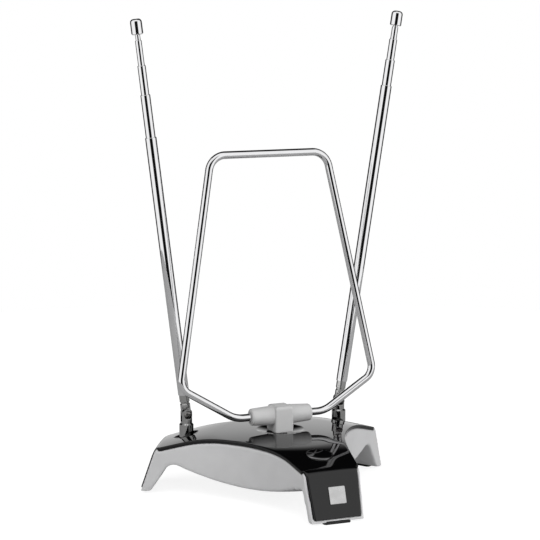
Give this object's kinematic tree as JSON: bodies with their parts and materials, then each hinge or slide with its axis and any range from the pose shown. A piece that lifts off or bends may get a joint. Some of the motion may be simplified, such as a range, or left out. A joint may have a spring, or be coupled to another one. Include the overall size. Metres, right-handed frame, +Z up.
{
  "type": "indoor television antenna",
  "caption": "Tabletop television antenna: three-legged base with a tilting loop and telescopic rods on swivelling elbows.",
  "frame": {"origin": "on the table, under the middle of the front foot", "axes": "+Z up, +Y towards the back where the sockets are, +X to the right seen from the front"},
  "size_m": [0.1807, 0.1391, 0.2936],
  "materials": {
    "cover": "high-gloss black moulding",
    "housing": "light grey satin moulding",
    "hub": "light grey satin moulding",
    "rod_chrome": "bright plated tube",
    "fitting": "nickel-plated turned part",
    "hinge_screw": "dark plated screw",
    "screw": "zinc-plated screw",
    "pad": "soft black rubber",
    "plate": "bare satin plate",
    "button": "high-gloss black moulding",
    "plunger": "natural nylon",
    "switch": "black moulding",
    "board": "green lacquered laminate",
    "can": "tinned sheet",
    "ballast": "plain steel plate",
    "leaf": "spring brass"
  },
  "bodies": {
    "base": {"base_housing": "housing", "top_cover": "cover", "front_foot": "pad", "left_foot": "pad", "right_foot": "pad", "name_plate": "plate", "push_switch": "switch", "circuit_board": "board", "shield_can": "can", "aerial_socket": "fitting", "power_socket": "switch", "ballast_plate": "ballast", "housing_screws": "screw", "left_contact": "leaf", "right_contact": "leaf"},
    "button": {"power_button": "button", "switch_plunger": "plunger"},
    "hub": {"loop_hub": "hub", "hub_screw": "screw", "hub_washer": "screw"},
    "loop": {"loop_tube": "rod_chrome"},
    "left_elbow": {"left_rod_base": "fitting", "left_rod_nut": "screw", "left_hinge_screw": "hinge_screw"},
    "left_rod_1": {"left_ferrule": "fitting", "left_tube_1": "rod_chrome"},
    "left_rod_2": {"left_tube_2": "rod_chrome"},
    "left_rod_3": {"left_tube_3": "rod_chrome"},
    "left_rod_4": {"left_tube_4": "rod_chrome"},
    "left_rod_5": {"left_tube_5": "rod_chrome", "left_cap": "rod_chrome"},
    "right_elbow": {"right_rod_base": "fitting", "right_rod_nut": "screw", "right_hinge_screw": "hinge_screw"},
    "right_rod_1": {"right_ferrule": "fitting", "right_tube_1": "rod_chrome"},
    "right_rod_2": {"right_tube_2": "rod_chrome"},
    "right_rod_3": {"right_tube_3": "rod_chrome"},
    "right_rod_4": {"right_tube_4": "rod_chrome"},
    "right_rod_5": {"right_tube_5": "rod_chrome", "right_cap": "rod_chrome"}
  },
  "joints": [
    {"name": "button_press", "type": "slide", "parent": "base", "child": "button", "axis": [0, 0.216, -0.9764], "range_m": [0, 0.0012], "stiffness_N_per_m": 400, "springref_m": -0.0015},
    {"name": "hub_swivel", "type": "hinge", "parent": "base", "child": "hub", "pos_m": [0, 0.083, 0.038], "axis": [0, 0, 1], "range_deg": [-12, 12]},
    {"name": "loop_tilt", "type": "hinge", "parent": "hub", "child": "loop", "pos_m": [0, 0.083, 0.0474], "axis": [1, 0, 0], "range_deg": [-8, 75]},
    {"name": "left_swivel", "type": "hinge", "parent": "base", "child": "left_elbow", "pos_m": [-0.05196, 0.1091, 0.0468], "axis": [0, 0, 1], "range_deg": [-45, 45]},
    {"name": "left_tilt", "type": "hinge", "parent": "left_elbow", "child": "left_rod_1", "pos_m": [-0.05196, 0.1091, 0.0468], "axis": [0, 1, 0], "range_deg": [-78, 37]},
    {"name": "left_slide_2", "type": "slide", "parent": "left_rod_1", "child": "left_rod_2", "axis": [-0.1253, 0, 0.9921], "range_m": [-0.0254, 0.1049]},
    {"name": "left_slide_3", "type": "slide", "parent": "left_rod_2", "child": "left_rod_3", "axis": [-0.1253, 0, 0.9921], "range_m": [-0.0171, 0.1132]},
    {"name": "left_slide_4", "type": "slide", "parent": "left_rod_3", "child": "left_rod_4", "axis": [-0.1253, 0, 0.9921], "range_m": [-0.0146, 0.1157]},
    {"name": "left_slide_5", "type": "slide", "parent": "left_rod_4", "child": "left_rod_5", "axis": [-0.1253, 0, 0.9921], "range_m": [-0.0029, 0.1274]},
    {"name": "right_swivel", "type": "hinge", "parent": "base", "child": "right_elbow", "pos_m": [0.05196, 0.1091, 0.0468], "axis": [0, 0, 1], "range_deg": [-45, 45]},
    {"name": "right_tilt", "type": "hinge", "parent": "right_elbow", "child": "right_rod_1", "pos_m": [0.05196, 0.1091, 0.0468], "axis": [0, 1, 0], "range_deg": [-36, 76]},
    {"name": "right_slide_2", "type": "slide", "parent": "right_rod_1", "child": "right_rod_2", "axis": [0.1582, 0, 0.9874], "range_m": [-0.0158, 0.1433]},
    {"name": "right_slide_3", "type": "slide", "parent": "right_rod_2", "child": "right_rod_3", "axis": [0.1582, 0, 0.9874], "range_m": [-0.0126, 0.1465]},
    {"name": "right_slide_4", "type": "slide", "parent": "right_rod_3", "child": "right_rod_4", "axis": [0.1582, 0, 0.9874], "range_m": [-0.0073, 0.1518]},
    {"name": "right_slide_5", "type": "slide", "parent": "right_rod_4", "child": "right_rod_5", "axis": [0.1582, 0, 0.9874], "range_m": [0, 0.1591]}
  ]
}
